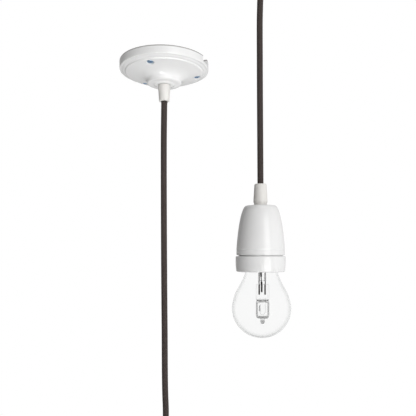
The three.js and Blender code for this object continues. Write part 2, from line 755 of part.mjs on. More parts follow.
const leadHoles = leadPlaces.map((x) => bar(LEAD_END_R + FIT, leadEnd - FIT, pinchTop + 1, x, 0, 12));
const supportHole = bar(SUPPORT_R + FIT, supportEnd - FIT, pinchTop + 1, SUPPORT_X, 0, 12);
const legX = hollowR / 2;
const legR = 0.18;
const legPlaces = [CAPSULE_X - legX, CAPSULE_X + legX];
const legHoles = legPlaces.map((x) => bar(legR + FIT, shoulder - 2, shoulder + 2.2, x, 0, 10));
const capsule = join(capsuleShape.translate([CAPSULE_X, 0, 0]), pinch);
const capsuleCuts = [capsuleHollow.translate([CAPSULE_X, 0, 0]), ...leadHoles, supportHole, ...legHoles];
place(glasswork, "capsule_glass", cut(capsule, ...capsuleCuts), "quartz");

const filamentTop = shoulder + 1.8;
const filamentLow = tubeEnd + 3.2;
const filament = swept([
  [-legX, 0, filamentTop],
  [-legX, 0, shoulder - 3],
  [-legX, 0, filamentLow + 2.5],
  [-1, 0, filamentLow],
  [1, 0, filamentLow],
  [legX, 0, filamentLow + 2.5],
  [legX, 0, shoulder - 3],
  [legX, 0, filamentTop],
], legR, 6, 22);
const coil = bar(FILAMENT_R, filamentLow + 3, shoulder - 4.4, -legX, 0, 10);
place(glasswork, "capsule_filament", join(filament, coil).translate([CAPSULE_X, 0, 0]), "wire");

leadPlaces.forEach((x, i) => {
  const thin = bar(LEAD_R, pinchTop - 1, wireTop, x, 0, 12);
  const thick = bar(LEAD_END_R, leadEnd, pinchTop - FIT, x, 0, 12);
  place(glasswork, `bulb_lead_${i + 1}`, join(thin, thick), "wire");
});
place(glasswork, "bulb_support_wire", bar(SUPPORT_R, supportEnd, wireTop, SUPPORT_X, 0, 12), "wire");

// Free cord, from the rose's grip round to the holder's grip
const cordRoute = [
  [0, 0, roseGripMouth - FIT],
  [-0.4, 0, -70],
  [-0.3, 0, -150],
  [0.3, 0, -240],
  [1.2, 0, -310],
  [4, 0, -345],
  [22, 0, -376],
  [66, 0, -396],
  [118, 0, -401],
  [170, 0, -396],
  [214, 0, -376],
  [232, 0, -345],
  [235, 0, -310],
  [RISER_X, 0, -240],
  [RISER_X, 0, -120],
  [RISER_X, 0, 0],
  [RISER_X, 0, 48],
  [235.4, 0, 62.5],
  [232.3, 0, 72.4],
  [RISER_X - HOOK_INSET, 0, HOOK_Z],
  [218, 0, 86],
  [208, 0, 88.4],
  [194, 0, 87.6],
  [162, 0, 84],
  [130, 0, 87.6],
  [116, 0, 88.4],
  [106, 0, 86],
  [HOLDER_X + HOOK_INSET, 0, HOOK_Z],
  [91.7, 0, 72.4],
  [88.4, 0, 62.5],
  [87.5, 0, 48],
  [87.4, 0, 0],
  [87.7, 0, -60],
  [HOLDER_X, 0, holderGripMouth + FIT],
];
place(pendant, "cord", swept(cordRoute, CORD_R, CORD_SIDES, CORD_STEPS), "textile");

// Screw-in hook that carries a bend of the cord: a straight shank and an open crook that leans into the bend
function cordHook(x, z, inward) {
  const reach = CORD_R + HOOK_WIRE_R + HOOK_PLAY;
  const points = [[x, reach, z + HOOK_SHANK], [x, reach, z + HOOK_SHANK * 0.5], [x, reach, z + 1]];
  for (let i = 1; i < 8; i += 1) {
    const [y, depth] = polar(reach, -22.5 * i);
    points.push([x - inward * depth * Math.SQRT1_2, y, z + depth * Math.SQRT1_2]);
  }
  points.push([x, -reach, z + 1], [x, -reach - 0.6, z + HOOK_LIP]);
  return swept(points, HOOK_WIRE_R, 8, 26);
}

place(pendant, "cord_hook_1", cordHook(HOLDER_X + HOOK_INSET, HOOK_Z, 1), "whitePaint");
place(pendant, "cord_hook_2", cordHook(RISER_X - HOOK_INSET, HOOK_Z, -1), "whitePaint");

export default pendant;
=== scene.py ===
"""Pendant cord set: porcelain ceiling rose, textile cord, porcelain lamp holder and clear halogen bulb.

Sizes are in millimetres and become metres where a mesh is made. The camera and the lamps are in metres.
"""
import math

import bpy
from mathutils import Matrix, Vector


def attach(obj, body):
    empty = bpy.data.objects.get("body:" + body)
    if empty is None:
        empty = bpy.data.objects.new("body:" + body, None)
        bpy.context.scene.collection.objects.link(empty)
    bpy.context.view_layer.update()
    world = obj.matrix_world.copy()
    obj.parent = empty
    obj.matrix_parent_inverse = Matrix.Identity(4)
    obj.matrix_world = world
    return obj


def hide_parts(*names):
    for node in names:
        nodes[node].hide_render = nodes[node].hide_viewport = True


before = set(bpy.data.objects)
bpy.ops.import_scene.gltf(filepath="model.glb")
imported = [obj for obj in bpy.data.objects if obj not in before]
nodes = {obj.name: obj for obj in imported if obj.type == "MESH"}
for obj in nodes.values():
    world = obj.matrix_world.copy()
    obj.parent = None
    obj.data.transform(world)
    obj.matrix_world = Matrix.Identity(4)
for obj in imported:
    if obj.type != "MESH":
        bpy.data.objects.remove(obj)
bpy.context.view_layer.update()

# Sizes and places that several pieces share

MM = 0.001
FIT = 0.3
CORD_R = 2.75
BRAID_CARRIERS = 8
BRAID_PITCH = 2.8
BRAID_DEPTH = 0.14
BORE_R = 5.2
HOLDER_X = 88
RISER_X = 236
HOOK_INSET = 9.6
HOOK_Z = 80.4
ROSE_GRIP_MOUTH = -34.9
HOLDER_GRIP_MOUTH = -110.3
GLASS_X = HOLDER_X + 0.8
STEM_X = GLASS_X + 0.7
CAPSULE_X = GLASS_X + 1.1
SHOULDER = -216.6
TUBE_END = -232.8
KNOB_END = -238.1

# Camera


def add_camera():
    """A level camera in front of the set, with its picture shifted up a little."""
    data = bpy.data.cameras.new("view")
    data.sensor_width = 36
    data.lens = 41.54
    data.shift_y = 0.113
    data.clip_start = 0.01
    camera = bpy.data.objects.new("view", data)
    camera.location = (0.040, -0.439, -0.1752)
    camera.rotation_euler = (math.radians(90), 0, 0)
    bpy.context.scene.collection.objects.link(camera)
    bpy.context.scene.camera = camera


bpy.context.scene.view_settings.view_transform = "Standard"
add_camera()

# Mesh helpers

CORNER_REACH = 0.45
SUPPORT_REACH = 1.35
SUPPORT_ROOM = 3
ON_AXIS = 1e-6


def mesh_object(name, points, faces, smooth=True):
    """A mesh from points in millimetres."""
    mesh = bpy.data.meshes.new(name)
    mesh.from_pydata([(x * MM, y * MM, z * MM) for x, y, z in points], [], faces)
    mesh.update()
    if smooth:
        mesh.polygons.foreach_set("use_smooth", [True] * len(mesh.polygons))
    piece = bpy.data.objects.new(name, mesh)
    bpy.context.scene.collection.objects.link(piece)
    return piece


def rounded(profile, steps=5):
    """Points of a profile of (radius, height, rounding) corners, with a support point by each rounding."""
    out = []
    for i, corner in enumerate(profile):
        here = Vector(corner[:2])
        size = corner[2] if len(corner) > 2 else 0
        if not size:
            out.append(corner[:2])
            continue
        to_before = Vector(profile[i - 1][:2]) - here
        to_after = Vector(profile[(i + 1) % len(profile)][:2]) - here
        reach_before = min(size, to_before.length * CORNER_REACH)
        reach_after = min(size, to_after.length * CORNER_REACH)
        start = here + to_before.normalized() * reach_before
        end = here + to_after.normalized() * reach_after
        if to_before.length > reach_before * SUPPORT_ROOM:
            out.append(tuple(here + to_before.normalized() * reach_before * SUPPORT_REACH))
        for k in range(steps + 1):
            t = k / steps
            out.append(tuple(start * (1 - t) ** 2 + here * 2 * t * (1 - t) + end * t**2))
        if to_after.length > reach_after * SUPPORT_ROOM:
            out.append(tuple(here + to_after.normalized() * reach_after * SUPPORT_REACH))
    return out


def smooth_line(points, parts=6):
    """A centripetal spline through points of any dimension."""
    pts = [Vector(p) for p in points]
    pts = [pts[0] * 2 - pts[1], *pts, pts[-1] * 2 - pts[-2]]
    out = []
    for a, b, c, d in zip(pts, pts[1:], pts[2:], pts[3:]):
        ta = 0.0
        tb = ta + max((b - a).length, 1e-9) ** 0.5
        tc = tb + max((c - b).length, 1e-9) ** 0.5
        td = tc + max((d - c).length, 1e-9) ** 0.5
        for k in range(parts):
            t = tb + (tc - tb) * k / parts
            a1 = a * ((tb - t) / (tb - ta)) + b * ((t - ta) / (tb - ta))
            a2 = b * ((tc - t) / (tc - tb)) + c * ((t - tb) / (tc - tb))
            a3 = c * ((td - t) / (td - tc)) + d * ((t - tc) / (td - tc))
            b1 = a1 * ((tc - t) / (tc - ta)) + a2 * ((t - ta) / (tc - ta))
            b2 = a2 * ((td - t) / (td - tb)) + a3 * ((t - tb) / (td - tb))
            out.append(b1 * ((tc - t) / (tc - tb)) + b2 * ((t - tb) / (tc - tb)))
    out.append(pts[-2])
    return out


def line_length(line):
    """Length of a line of points."""
    return sum((b - a).length for a, b in zip(line, line[1:]))


def even_steps(line, step):
    """Points about a step apart along a line, ends included."""
    lengths = [0.0]
    for a, b in zip(line, line[1:]):
        lengths.append(lengths[-1] + (b - a).length)
    count = max(2, round(lengths[-1] / step))
    out = []
    i = 0
    for k in range(count + 1):
        want = lengths[-1] * k / count
        while i < len(line) - 2 and lengths[i + 1] < want:
            i += 1
        span = lengths[i + 1] - lengths[i]
        out.append(line[i].lerp(line[i + 1], (want - lengths[i]) / span if span else 0))
    return out


def ring_faces(a, b, segments):
    """Faces between two rings of point numbers, of which one may be a single point."""
    faces = []
    for k in range(segments):
        n = (k + 1) % segments
        if len(a) == 1:
            faces.append((a[0], b[n], b[k]))
        elif len(b) == 1:
            faces.append((a[k], a[n], b[0]))
        else:
            faces.append((a[k], a[n], b[n], b[k]))
    return faces


def turned(name, profile, segments=128, x=0.0, y=0.0):
    """A piece turned about the vertical at (x, y); its profile is a closed loop or ends on the axis."""
    following = profile[1:] + profile[:1]
    area = sum(r * next_z - next_r * z for (r, z), (next_r, next_z) in zip(profile, following))
    if area < 0:
        profile = list(reversed(profile))
    points = []
    rings = []
    for r, z in profile:
        first = len(points)
        if r < ON_AXIS:
            rings.append([first])
            points.append((x, y, z))
            continue
        rings.append(list(range(first, first + segments)))
        for k in range(segments):
            angle = 2 * math.pi * k / segments
            points.append((x + r * math.cos(angle), y + r * math.sin(angle), z))
    faces = []
    for a, b in zip(rings, rings[1:] + rings[:1]):
        if len(a) > 1 or len(b) > 1:
            faces += ring_faces(a, b, segments)
    return mesh_object(name, points, faces)


def domed(radius, to_end, least):
    """Radius of a round wire near an end that closes in a dome."""
    return radius * math.sqrt(max(least, 1 - max(0, 1 - to_end / radius) ** 2))


def add_tube_uv(piece, stations, sides):
    """Gives a tube's sides a UV map of (share of the turn, metres along the tube)."""
    side_faces = (len(stations) - 1) * sides
    uv = piece.data.uv_layers.new(name="UVMap")
    values = [0.0] * (2 * len(piece.data.loops))
    for polygon in piece.data.polygons:
        if polygon.index >= side_faces:
            continue
        k = polygon.index % sides
        i = polygon.index // sides
        quad = ((k, i), (k + 1, i), (k + 1, i + 1), (k, i + 1))
        for loop, (turn, ring) in zip(polygon.loop_indices, quad):
            values[2 * loop] = turn / sides
            values[2 * loop + 1] = stations[ring] * MM
    uv.data.foreach_set("uv", values)


def tube(name, line, radius, sides):
    """A closed tube along a line; radius is a number or a function of (distance, share of the turn)."""
    points = []
    stations = []
    along = 0.0
    normal = Vector((0, 1, 0))
    for i, p in enumerate(line):
        tangent = (line[min(i + 1, len(line) - 1)] - line[max(i - 1, 0)]).normalized()
        normal = (normal - tangent * normal.dot(tangent)).normalized()
        across = tangent.cross(normal)
        if i:
            along += (p - line[i - 1]).length
        stations.append(along)
        for k in range(sides):
            share = k / sides
            angle = 2 * math.pi * share
            r = radius(along, share) if callable(radius) else radius
            points.append(tuple(p + (normal * math.cos(angle) + across * math.sin(angle)) * r))
    faces = []
    for i in range(len(line) - 1):
        for k in range(sides):
            n = (k + 1) % sides
            faces.append((i * sides + k, i * sides + n, (i + 1) * sides + n, (i + 1) * sides + k))
    last_ring = (len(line) - 1) * sides
    faces.append(tuple(range(sides - 1, -1, -1)))
    faces.append(tuple(last_ring + k for k in range(sides)))
    piece = mesh_object(name, points, faces)
    add_tube_uv(piece, stations, sides)
    return piece


def box_mesh(name, width, depth, low, high, x=0.0, y=0.0, turn=0.0):
    """A block between two heights, turned about the vertical through the origin."""
    c = math.cos(math.radians(turn))
    s = math.sin(math.radians(turn))
    points = []
    for z in (low, high):
        for dx, dy in ((-1, -1), (1, -1), (1, 1), (-1, 1)):
            px = x + dx * width / 2
            py = y + dy * depth / 2
            points.append((px * c - py * s, px * s + py * c, z))
    faces = [(3, 2, 1, 0), (4, 5, 6, 7), (0, 1, 5, 4), (1, 2, 6, 5), (2, 3, 7, 6), (3, 0, 4, 7)]
    return mesh_object(name, points, faces, smooth=False)


def use_modifiers(piece):
    """Applies what modifiers a piece has."""
    bpy.context.view_layer.update()
    evaluated = piece.evaluated_get(bpy.context.evaluated_depsgraph_get())
    mesh = bpy.data.meshes.new_from_object(evaluated)
    piece.modifiers.clear()
    old = piece.data
    piece.data = mesh
    bpy.data.meshes.remove(old)


def combine(piece, tool, operation):
    """Joins a tool to a piece or cuts it out, and removes the tool."""
    change = piece.modifiers.new("combine", "BOOLEAN")
    change.operation = operation
    change.solver = "EXACT"
    change.object = tool
    use_modifiers(piece)
    bpy.data.objects.remove(tool)


def join(piece, tool):
    """Joins a tool to a piece."""
    combine(piece, tool, "UNION")


def cut(piece, *tools):
    """Cuts tools out of a piece."""
    for tool in tools:
        combine(piece, tool, "DIFFERENCE")


def round_edges(piece, width, segments):
    """Rounds all edges of a block."""
    change = piece.modifiers.new("round", "BEVEL")
    change.width = width * MM
    change.segments = segments
    use_modifiers(piece)


def sharp_by_angle(piece, degrees=32):
    """Smooth shading with sharp edges where faces meet at more than an angle."""
    mesh = piece.data
    mesh.polygons.foreach_set("use_smooth", [True] * len(mesh.polygons))
    mesh.set_sharp_from_angle(angle=math.radians(degrees))


def moved(piece, matrix):
    """Moves a piece's mesh by a matrix in metres."""
    piece.data.transform(matrix)
    piece.data.update()
    return piece


def polar(radius, degrees):
    """A point at a distance and an angle from the origin."""
    angle = math.radians(degrees)
    return radius * math.cos(angle), radius * math.sin(angle)


# Material helpers


def grey(value):
    """A neutral colour."""
    return (value, value, value)


def principled(name, **values):
    """A material with one Principled shader; returns the material, its node tree and the shader."""
    material = bpy.data.materials.new(name)
    material.use_nodes = True
    tree = material.node_tree
    shader = tree.nodes["Principled BSDF"]
    for key, value in values.items():
        socket = shader.inputs[key.replace("_", " ")]
        socket.default_value = (*value, 1) if isinstance(value, tuple) else value
    return material, tree, shader


def add(tree, kind, **settings):
    """A node whose inputs or properties are set by name."""
    node = tree.nodes.new(kind)
    for key, value in settings.items():
        if key in node.inputs:
            node.inputs[key].default_value = value
        else:
            setattr(node, key, value)
    return node


def math_node(tree, operation, first, second=None):
    """Arithmetic on two values, each a number or a socket."""
    node = add(tree, "ShaderNodeMath", operation=operation)
    for socket, value in zip(node.inputs, (first, second)):
        if value is None:
            continue
        if isinstance(value, (int, float)):
            socket.default_value = value
        else:
            tree.links.new(value, socket)
    return node.outputs[0]


def axes_of(tree, source):
    """The X, Y and Z of a vector socket."""
    parts = add(tree, "ShaderNodeSeparateXYZ")
    tree.links.new(source, parts.inputs["Vector"])
    return parts.outputs


def height_value(tree):
    """Height in the object's own metres."""
    place = add(tree, "ShaderNodeTexCoord")
    return axes_of(tree, place.outputs["Object"])["Z"]


def noise(tree, scale, detail=3.0, rough=0.55, stretch=None):
    """Noise in the object's own metres."""
    place = add(tree, "ShaderNodeTexCoord")
    source = place.outputs["Object"]
    if stretch:
        mapping = add(tree, "ShaderNodeMapping")
        mapping.inputs["Scale"].default_value = stretch
        tree.links.new(source, mapping.inputs["Vector"])
        source = mapping.outputs["Vector"]
    node = add(tree, "ShaderNodeTexNoise", Scale=scale, Detail=detail, Roughness=rough)
    tree.links.new(source, node.inputs["Vector"])
    return node.outputs["Fac"]


def spread(tree, source, low, high, from_low=0.3, from_high=0.7):
    """Maps a value from its usual range to another."""
    node = add(tree, "ShaderNodeMapRange")
    node.inputs["From Min"].default_value = from_low
    node.inputs["From Max"].default_value = from_high
    node.inputs["To Min"].default_value = low
    node.inputs["To Max"].default_value = high
    tree.links.new(source, node.inputs["Value"])
    return node.outputs["Result"]


def mix(tree, factor, first, second):
    """Mixes two colours, each a tuple or a socket."""
    node = add(tree, "ShaderNodeMix", data_type="RGBA")
    tree.links.new(factor, node.inputs["Factor"])
    for key, value in (("A", first), ("B", second)):
        socket = [s for s in node.inputs if s.name == key and s.type == "RGBA"][0]
        if isinstance(value, tuple):
            socket.default_value = (*value, 1)
        else:
            tree.links.new(value, socket)
    return [s for s in node.outputs if s.type == "RGBA"][0]


def bump(tree, shader, height, strength, distance):
    """A fine relief of a distance in metres."""
    node = add(tree, "ShaderNodeBump", Strength=strength, Distance=distance)
    tree.links.new(height, node.inputs["Height"])
    tree.links.new(node.outputs["Normal"], shader.inputs["Normal"])


def varied(name, color, other, rough, metallic=0.0, scale=120, fine=900, relief=0.02, stretch=None, **more):
    """A material whose colour and roughness vary gently and whose surface has a fine relief."""
    material, tree, shader = principled(name, Metallic=metallic, **more)
    broad = noise(tree, scale, 4)
    tree.links.new(mix(tree, spread(tree, broad, 0, 1), color, other), shader.inputs["Base Color"])
    small = noise(tree, fine, 3, stretch=stretch)
    tree.links.new(spread(tree, small, rough[0], rough[1]), shader.inputs["Roughness"])
    bump(tree, shader, small, relief, 0.0002)
    return material


# Porcelain, plastic and paint

# Heights of the painted shade band along the top of the rose's rim
RIM_SHADE_LOW = -1.4
RIM_SHADE_HIGH = -0.7


def paint_rim_shade(material, low, high, color):
    """Paints shade on a glazed piece above a height: a darker colour there stands for the shade along the
    rim where it meets the ceiling.
    """
    tree = material.node_tree
    base = tree.nodes["Principled BSDF"].inputs["Base Color"]
    glaze = base.links[0].from_socket
    share = spread(tree, height_value(tree), 0.0, 1.0, low * MM, high * MM)
    tree.links.new(mix(tree, share, glaze, color), base)


porcelain = varied(
    "glazed porcelain", (0.85, 0.85, 0.846), (0.87, 0.87, 0.868), (0.09, 0.15),
    scale=45, fine=160, relief=0.03, Coat_Weight=0.2, Coat_Roughness=0.08,
)
# Painted shade: a dark grey band along the rose's top rim, by the ceiling
paint_rim_shade(porcelain, RIM_SHADE_LOW, RIM_SHADE_HIGH, (0.34, 0.335, 0.325))
ivory = varied(
    "ivory plastic", (0.80, 0.783, 0.752), (0.82, 0.805, 0.777), (0.42, 0.56),
    scale=160, fine=1800, relief=0.08,
)
bare_ceramic = varied(
    "unglazed ceramic", (0.72, 0.69, 0.62), (0.78, 0.755, 0.70), (0.62, 0.8),
    scale=120, fine=2600, relief=0.25,
)
brown_core = varied(
    "brown core", (0.16, 0.06, 0.025), (0.19, 0.075, 0.035), (0.38, 0.5),
    scale=200, fine=1500, relief=0.06,
)
blue_core = varied(
    "blue core", (0.03, 0.12, 0.36), (0.04, 0.15, 0.42), (0.38, 0.5),
    scale=200, fine=1500, relief=0.06,
)
hook_paint = varied(
    "white coated wire", (0.80, 0.80, 0.79), (0.84, 0.84, 0.83), (0.25, 0.38),
    scale=150, fine=900, relief=0.08,
)

# Metals

blue_zinc = varied(
    "blue zinc plate", (0.30, 0.47, 0.68), (0.42, 0.58, 0.76), (0.22, 0.36), metallic=1.0,
    scale=300, fine=1500, relief=0.05,
)
zinc_steel = varied(
    "zinc plated steel", (0.60, 0.61, 0.62), (0.68, 0.68, 0.67), (0.26, 0.42), metallic=1.0,
    scale=150, fine=900, relief=0.08, stretch=(1, 0.15, 1),
)
brass = varied(
    "brass", (0.66, 0.47, 0.18), (0.74, 0.55, 0.25), (0.18, 0.34), metallic=1.0,
    scale=200, fine=1400, relief=0.05,
)
cap_metal = varied(
    "drawn aluminium", (0.62, 0.62, 0.63), (0.70, 0.70, 0.70), (0.25, 0.4), metallic=1.0,
    scale=160, fine=1200, relief=0.06,
)
solder = varied(
    "solder", (0.42, 0.43, 0.44), (0.52, 0.53, 0.54), (0.3, 0.5), metallic=1.0,
    scale=400, fine=1600, relief=0.3,
)
lamp_wire = varied(
    "oxidised wire", (0.045, 0.04, 0.038), (0.09, 0.08, 0.075), (0.35, 0.5), metallic=0.7,
    scale=500, fine=2500, relief=0.15,
)
tungsten = varied(
    "tungsten", (0.30, 0.30, 0.31), (0.38, 0.38, 0.38), (0.3, 0.45), metallic=0.8,
    scale=500, fine=2500, relief=0.1,
)

# Glass

# Share of a painted shade band's half width that is fully dark
SHADE_BAND_CORE = 0.4


def glass(name, edge_shade_color, clear_color, index, shade_from, shade_to=0.97, shade_bands=()):
    """Clear glass with painted shade that stands for the dark refraction: darker towards its edges as seen,
    and in bands where its wall is thick, each a (height, half width, colour).
    """
    material, tree, shader = principled(name, Roughness=0.0, IOR=index)
    shader.inputs["Transmission Weight"].default_value = 1.0
    # Painted shade: the colour turns to the edge shade colour where the glass is seen edge on
    weight = add(tree, "ShaderNodeLayerWeight", Blend=0.5)
    tone = spread(tree, weight.outputs["Facing"], 0.0, 1.0, shade_from, shade_to)
    color = mix(tree, tone, clear_color, edge_shade_color)
    # Painted shade: darker bands at given heights, for the refraction where the glass is thick
    for height, half, shade_color in shade_bands:
        away = math_node(tree, "ABSOLUTE", math_node(tree, "SUBTRACT", height_value(tree), height * MM))
        share = spread(tree, away, 1.0, 0.0, half * MM * SHADE_BAND_CORE, half * MM)
        color = mix(tree, share, color, shade_color)
    tree.links.new(color, shader.inputs["Base Color"])
    bump(tree, shader, noise(tree, 60, 2), 0.02, 0.0004)
    return material


cap_glass = varied(
    "black cap glass", (0.012, 0.012, 0.014), (0.02, 0.02, 0.022), (0.06, 0.16),
    scale=120, fine=600, relief=0.03,
)
# Painted shade: the first colour of each glass is the dark edge that stands for refraction at its rims
clear_glass = glass("clear bulb glass", (0.66, 0.67, 0.665), (0.972, 0.973, 0.972), 1.1, 0.5)
stem_glass = glass("stem glass", grey(0.05), grey(0.99), 1.05, 0.28)
# Painted shade bands on the capsule, at its shoulder, at the tube's end and on its knob, for refraction in
# the thick quartz
capsule_shade_bands = (
    (SHOULDER, 0.85, grey(0.22)),
    (TUBE_END + 0.4, 1.1, grey(0.4)),
    (KNOB_END + 1.9, 2.6, grey(0.45)),
)
quartz = glass("quartz", grey(0.02), (0.985, 0.986, 0.986), 1.05, 0.34, 0.84, capsule_shade_bands)

# Textile


def textile():
    """Braided cover: small diamonds of yarn in a dark brown grey."""
    material, tree, shader = principled("braided textile", Roughness=0.9)
    shader.inputs["Specular IOR Level"].default_value = 0.2
    uv = add(tree, "ShaderNodeUVMap", uv_map="UVMap")
    round_and_along = axes_of(tree, uv.outputs["UV"])
    turn = math_node(tree, "MULTIPLY", round_and_along["X"], BRAID_CARRIERS * math.pi)
    run = math_node(tree, "MULTIPLY", round_and_along["Y"], 2 * math.pi / (BRAID_PITCH * MM))
    right = math_node(tree, "ABSOLUTE", math_node(tree, "COSINE", math_node(tree, "ADD", turn, run)))
    left = math_node(tree, "ABSOLUTE", math_node(tree, "COSINE", math_node(tree, "SUBTRACT", turn, run)))
    height = math_node(tree, "POWER", math_node(tree, "MULTIPLY", right, left), 0.5)
    yarn = noise(tree, 5200, 2, 0.6)
    fuzz = math_node(tree, "ADD", height, math_node(tree, "MULTIPLY", yarn, 0.35))
    patches = spread(tree, noise(tree, 700, 3), 0, 1)
    dark = mix(tree, patches, (0.022, 0.016, 0.015), (0.036, 0.027, 0.025))
    light = mix(tree, spread(tree, yarn, 0, 1), (0.060, 0.047, 0.043), (0.118, 0.097, 0.090))
    tree.links.new(mix(tree, height, dark, light), shader.inputs["Base Color"])
    bump(tree, shader, fuzz, 0.8, 0.00035)
    return material


braid = textile()

# Materials of the pieces

NODE_MATERIALS = (
    ("rose_body holder_body holder_ring", porcelain),
    ("rose_cord_grip rose_grip_nut holder_cord_grip holder_grip_nut", ivory),
    ("rose_screw_1 rose_screw_2 rose_screw_3", blue_zinc),
    ("rose_bracket rose_clamp_screw_live rose_clamp_screw_neutral", zinc_steel),
    ("holder_clamp_screw_live holder_clamp_screw_neutral", zinc_steel),
    ("rose_terminal_live rose_terminal_neutral holder_screw_shell holder_centre_contact", brass),
    ("holder_terminal_live holder_terminal_neutral holder_rivet_live holder_rivet_neutral", brass),
    ("rose_terminal_block holder_insert", bare_ceramic),
    ("bulb_cap", cap_metal),
    ("bulb_insulator", cap_glass),
    ("bulb_contact", solder),
    ("bulb_glass", clear_glass),
    ("bulb_stem", stem_glass),
    ("capsule_glass", quartz),
    ("bulb_lead_1 bulb_lead_2 bulb_support_wire capsule_filament", lamp_wire),
    ("cord rose_cord_end holder_cord_end", braid),
    ("rose_core_live holder_core_live", brown_core),
    ("rose_core_neutral holder_core_neutral", blue_core),
    ("cord_hook_1 cord_hook_2", hook_paint),
)


def dress(mesh, material):
    """Gives every slot of a mesh one material."""
    if not mesh.materials:
        mesh.materials.append(material)
    for place in range(len(mesh.materials)):
        mesh.materials[place] = material


for names, material in NODE_MATERIALS:
    for node_name in names.split():
        dress(nodes[node_name].data, material)


def finish_piece(piece, material, slot, *replaced):
    """Gives a piece its material and body, and hides the nodes that it stands for; the slot is not used."""
    piece.data.materials.clear()
    piece.data.materials.append(material)
    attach(piece, "root")
    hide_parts(*replaced)
    return piece


# Cord

CORD_START = ROSE_GRIP_MOUTH - FIT
CORD_END = HOLDER_GRIP_MOUTH + FIT
CORD_STEP = 0.47
CORD_SIDES = 24
ROUTE = [
    (0, 0, CORD_START), (-0.4, 0, -70), (-0.3, 0, -150), (0.3, 0, -240), (1.2, 0, -310), (4, 0, -345),
    (22, 0, -376), (66, 0, -396), (118, 0, -401), (170, 0, -396), (214, 0, -376), (232, 0, -345),
    (235, 0, -310), (RISER_X, 0, -240), (RISER_X, 0, -120), (RISER_X, 0, 0), (RISER_X, 0, 48),
    (235.4, 0, 62.5), (232.3, 0, 72.4), (RISER_X - HOOK_INSET, 0, HOOK_Z), (218, 0, 86), (208, 0, 88.4),
    (194, 0, 87.6), (162, 0, 84), (130, 0, 87.6), (116, 0, 88.4), (106, 0, 86),
    (HOLDER_X + HOOK_INSET, 0, HOOK_Z), (91.7, 0, 72.4), (88.4, 0, 62.5), (87.5, 0, 48), (87.4, 0, 0),
    (87.7, 0, -60), (HOLDER_X, 0, CORD_END),
]


def braid_radius(along, share):
    """Radius of the braided cover: a small hill for each diamond of yarn."""
    turn = math.pi * BRAID_CARRIERS * share
    run = 2 * math.pi * along / BRAID_PITCH
    hill = math.sqrt(abs(math.cos(turn + run) * math.cos(turn - run)))
    return CORD_R - BRAID_DEPTH / 2 + BRAID_DEPTH * hill


cord_line = even_steps(smooth_line(ROUTE, 24), CORD_STEP)
cord = tube("cord_braided", cord_line, braid_radius, CORD_SIDES)
finish_piece(cord, braid, "textile_cord", "cord")

# Cord hooks

HOOK_WIRE_R = 2
HOOK_CLEARANCE = 0.02
HOOK_SHANK = 24
HOOK_THREAD = 11
THREAD_CORE_R = 1.35
THREAD_RIDGE = 0.6
THREAD_PITCH = 1.5
THREAD_TAPER = 3
THREAD_POINT = 0.35
HOOK_SLANT = math.sqrt(0.5)
HOOK_BENDS = 12
HOOK_BEND_ANGLE = 15
HOOK_STEP = 0.25
HOOK_SIDES = 24


def hook_thickness(total):
    """Radius along a hook's wire: a tapered thread at the start and a dome at the end."""

    def radius(along, share):
        if along < HOOK_THREAD:
            wave = 0.5 + 0.5 * math.cos(2 * math.pi * (along / THREAD_PITCH + share))
            taper = THREAD_POINT + (1 - THREAD_POINT) * min(1, along / THREAD_TAPER)
            return (THREAD_CORE_R + THREAD_RIDGE * wave**2) * taper
        return domed(HOOK_WIRE_R, total - along, 0.02)

    return radius


def hook(name, x, z, inward, node):
    """A screw-in wire hook whose slanted crook goes round the cord's lower side."""
    reach = CORD_R + HOOK_WIRE_R + HOOK_CLEARANCE
    line = [
        (x, reach, z + HOOK_SHANK), (x, reach, z + HOOK_SHANK * 0.5), (x, reach, z + 4), (x, reach, z + 1),
    ]
    for i in range(1, HOOK_BENDS):
        y, depth = polar(reach, -HOOK_BEND_ANGLE * i)
        line.append((x - inward * depth * HOOK_SLANT, y, z + depth * HOOK_SLANT))
    line += [(x, -reach, z + 1), (x, -reach - 0.25, z + 3), (x, -reach - 0.9, z + 5.2)]
    stations = even_steps(smooth_line(line, 10), HOOK_STEP)
    piece = tube(name, stations, hook_thickness(line_length(stations)), HOOK_SIDES)
    return finish_piece(piece, hook_paint, "hook_paint", node)


hooks = [
    hook("hook_left", HOLDER_X + HOOK_INSET, HOOK_Z, 1, "cord_hook_1"),
    hook("hook_right", RISER_X - HOOK_INSET, HOOK_Z, -1, "cord_hook_2"),
]

# Ceiling rose

ROSE_R = 40.3
ROSE_WALL = 3.5
RIM_DEPTH = 7.4
STEP_R = 35.1
STEP_DEPTH = 9.7
DISC_INNER_R = 26
DISC_INNER_DEPTH = 11.4
DISC_SLOPE = (DISC_INNER_DEPTH - STEP_DEPTH) / (STEP_R - DISC_INNER_R)
BOSS_R = 15.6
BOSS_FOOT = 16.6
BOSS_DEPTH = 19.3
BOSS_INNER_DEPTH = 15.3
ROSE_SEAT = -20.1
SEAT_R = 8.2
SEAT_EDGE_R = 9.8
SWEEP_STEPS = 14
SCREW_PITCH_R = 30.2
SCREW_ANGLES = (12, 132, 252)
SCREW_HEAD_R = 2.7
SCREW_HEAD_H = 1.9
PAD_R = 4.6
PAD_LOW = -9.0
PAD_HIGH = -5
SCREW_HOLE_R = 1.8
NOTCH_WIDTH = 10.4
NOTCH_REACH = 10.5
NOTCH_LOW = -5.4
NOTCH_ANGLE = -20


def disc_depth(radius):
    """Depth of the sloping disc at a distance from the middle."""
    return STEP_DEPTH + (STEP_R - radius) * DISC_SLOPE


def sweep(share):
    """A point on the curve from the foot of the boss out to the disc."""
    foot = Vector((BOSS_R + 0.2, -BOSS_FOOT))
    corner = Vector((BOSS_R + 1.4, -disc_depth(BOSS_R + 1.4)))
    disc = Vector((DISC_INNER_R, -DISC_INNER_DEPTH))
    return tuple(foot * (1 - share) ** 2 + corner * 2 * share * (1 - share) + disc * share**2)


